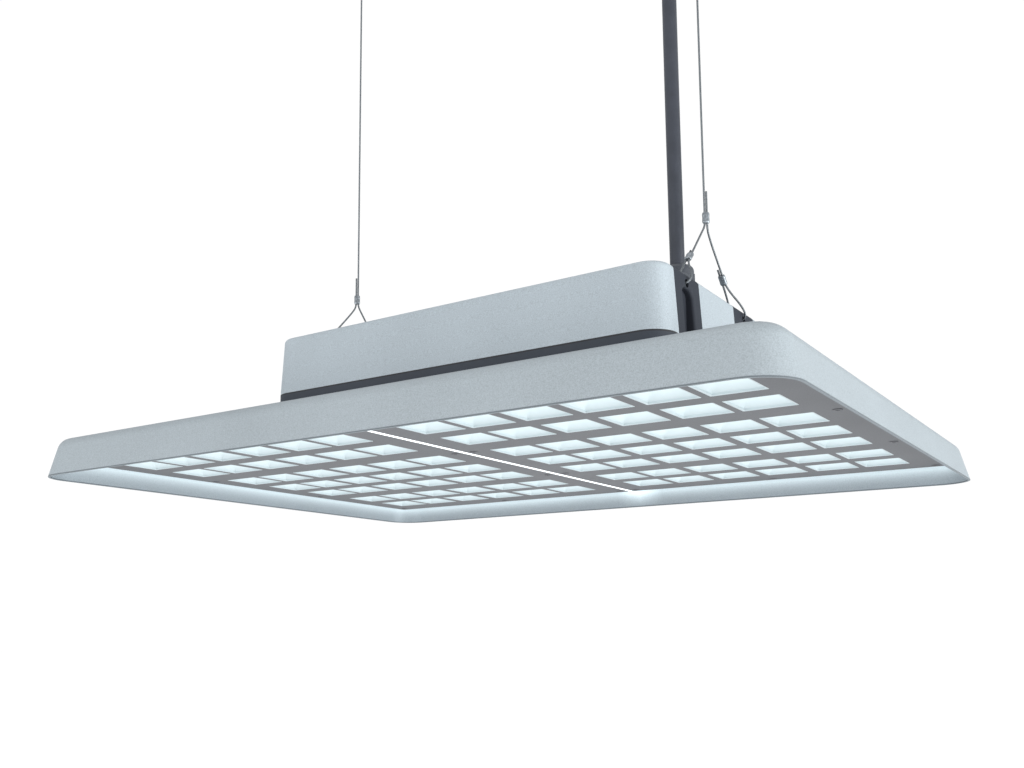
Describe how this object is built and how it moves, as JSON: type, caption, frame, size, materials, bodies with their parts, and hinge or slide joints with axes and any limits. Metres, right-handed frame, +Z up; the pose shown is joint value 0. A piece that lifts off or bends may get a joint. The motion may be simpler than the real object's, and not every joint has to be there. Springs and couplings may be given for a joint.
{
  "type": "led grow light",
  "caption": "Suspended rectangular LED high-bay light: silver hood, grid of lit reflector windows, top driver box, bracket wire bridles, swaying wire ropes and power cable.",
  "frame": {"origin": "centre of the hood's rim plane, the lowest plane of the luminaire, as it hangs level", "axes": "+X along the hood's long side towards the power cable, +Y across it, +Z up to the ceiling"},
  "size_m": [0.6, 0.475, 0.552],
  "materials": {
    "silver_paint": "fine-textured silver powder coat",
    "plate_paint": "matt mid-grey coating",
    "reflector": "bright white moulded reflector",
    "led_chip": "white-light LED package",
    "led_board": "metal-core board, white solder mask",
    "thermal_pad": "silicone gap pad",
    "zinc_steel": "zinc-plated steel",
    "dark_casting": "dark grey powder-coated aluminium",
    "black_rubber": "EPDM rubber",
    "driver_case": "plain aluminium driver case",
    "terminal_plastic": "moulded polyamide",
    "lead_insulation": "silicone-insulated lead",
    "gland_plastic": "dark grey polyamide",
    "cable_sheath": "dark grey cable sheath, satin",
    "opal_diffuser": "opal polycarbonate",
    "wire_rope": "galvanised wire rope",
    "ferrule": "crimped aluminium sleeve",
    "nickel": "nickel-plated turned brass",
    "rose_plastic": "moulded plastic"
  },
  "bodies": {
    "ceiling": {"left_anchor": "nickel", "right_anchor": "nickel", "left_anchor_pin": "zinc_steel", "right_anchor_pin": "zinc_steel", "ceiling_rose": "rose_plastic"},
    "hangers": {"left_swivel_link": "nickel", "right_swivel_link": "nickel"},
    "left_suspension": {"left_grip_pin": "zinc_steel", "left_wire_grip": "nickel", "left_main_wire": "wire_rope", "left_bridle_wire": "wire_rope", "left_apex_ferrule": "ferrule", "left_leg_ferrules": "ferrule"},
    "left_nozzle": {"left_release_nozzle": "nickel"},
    "right_suspension": {"right_grip_pin": "zinc_steel", "right_wire_grip": "nickel", "right_main_wire": "wire_rope", "right_bridle_wire": "wire_rope", "right_apex_ferrule": "ferrule", "right_leg_ferrules": "ferrule"},
    "right_nozzle": {"right_release_nozzle": "nickel"},
    "power_cable": {"power_cable": "cable_sheath"},
    "luminaire": {"hood": "silver_paint", "driver_cover": "silver_paint", "grid_plate_right": "plate_paint", "grid_plate_left": "plate_paint", "reflector_right": "reflector", "reflector_left": "reflector", "centre_diffuser": "opal_diffuser", "led_board_right": "led_board", "led_board_left": "led_board", "led_chips_right": "led_chip", "led_chips_left": "led_chip", "thermal_pad_right": "thermal_pad", "thermal_pad_left": "thermal_pad", "plate_posts": "zinc_steel", "plate_screws": "plate_paint", "board_screws": "zinc_steel", "heat_sink": "dark_casting", "gear_tray": "dark_casting", "tray_screws": "zinc_steel", "cover_gasket": "black_rubber", "cover_screws": "zinc_steel", "bracket_right_front": "dark_casting", "bracket_right_rear": "dark_casting", "bracket_left_front": "dark_casting", "bracket_left_rear": "dark_casting", "bracket_screws": "zinc_steel", "driver_front": "driver_case", "driver_rear": "driver_case", "driver_screws": "zinc_steel", "terminal_block": "terminal_plastic", "inner_leads": "lead_insulation", "gland_body": "gland_plastic", "gland_nut": "gland_plastic", "gland_seal": "black_rubber", "gland_locknut": "gland_plastic", "cable_tail": "cable_sheath"}
  },
  "joints": [
    {"name": "swing_across", "type": "hinge", "parent": "ceiling", "child": "hangers", "pos_m": [0, 0, 0.528], "axis": [1, 0, 0], "range_deg": [-10, 10]},
    {"name": "sway_along", "type": "hinge", "parent": "hangers", "child": "left_suspension", "pos_m": [-0.1684, 0, 0.514], "axis": [0, 1, 0], "range_deg": [-10, 10]},
    {"name": "luminaire_level", "type": "hinge", "parent": "left_suspension", "child": "luminaire", "pos_m": [-0.1684, 0, 0.1194], "axis": [0, 1, 0], "range_deg": [-10, 10]},
    {"name": "sway_right_wire", "type": "hinge", "parent": "hangers", "child": "right_suspension", "pos_m": [0.1684, 0, 0.514], "axis": [0, 1, 0], "range_deg": [-10, 10]},
    {"name": "sway_cable", "type": "hinge", "parent": "hangers", "child": "power_cable", "pos_m": [0.146, 0, 0.5416], "axis": [0, 1, 0], "range_deg": [-10, 10]},
    {"name": "left_release", "type": "slide", "parent": "left_suspension", "child": "left_nozzle", "axis": [0, 0, 1], "range_m": [0, 0.002], "stiffness_N_per_m": 300, "springref_m": -0.002},
    {"name": "right_release", "type": "slide", "parent": "right_suspension", "child": "right_nozzle", "axis": [0, 0, 1], "range_m": [0, 0.002], "stiffness_N_per_m": 300, "springref_m": -0.002}
  ],
  "couplings": [
    {"joint": "luminaire_level", "follows": "sway_along", "ratio": -1},
    {"joint": "sway_right_wire", "follows": "sway_along", "ratio": 1},
    {"joint": "sway_cable", "follows": "sway_along", "ratio": 1}
  ]
}
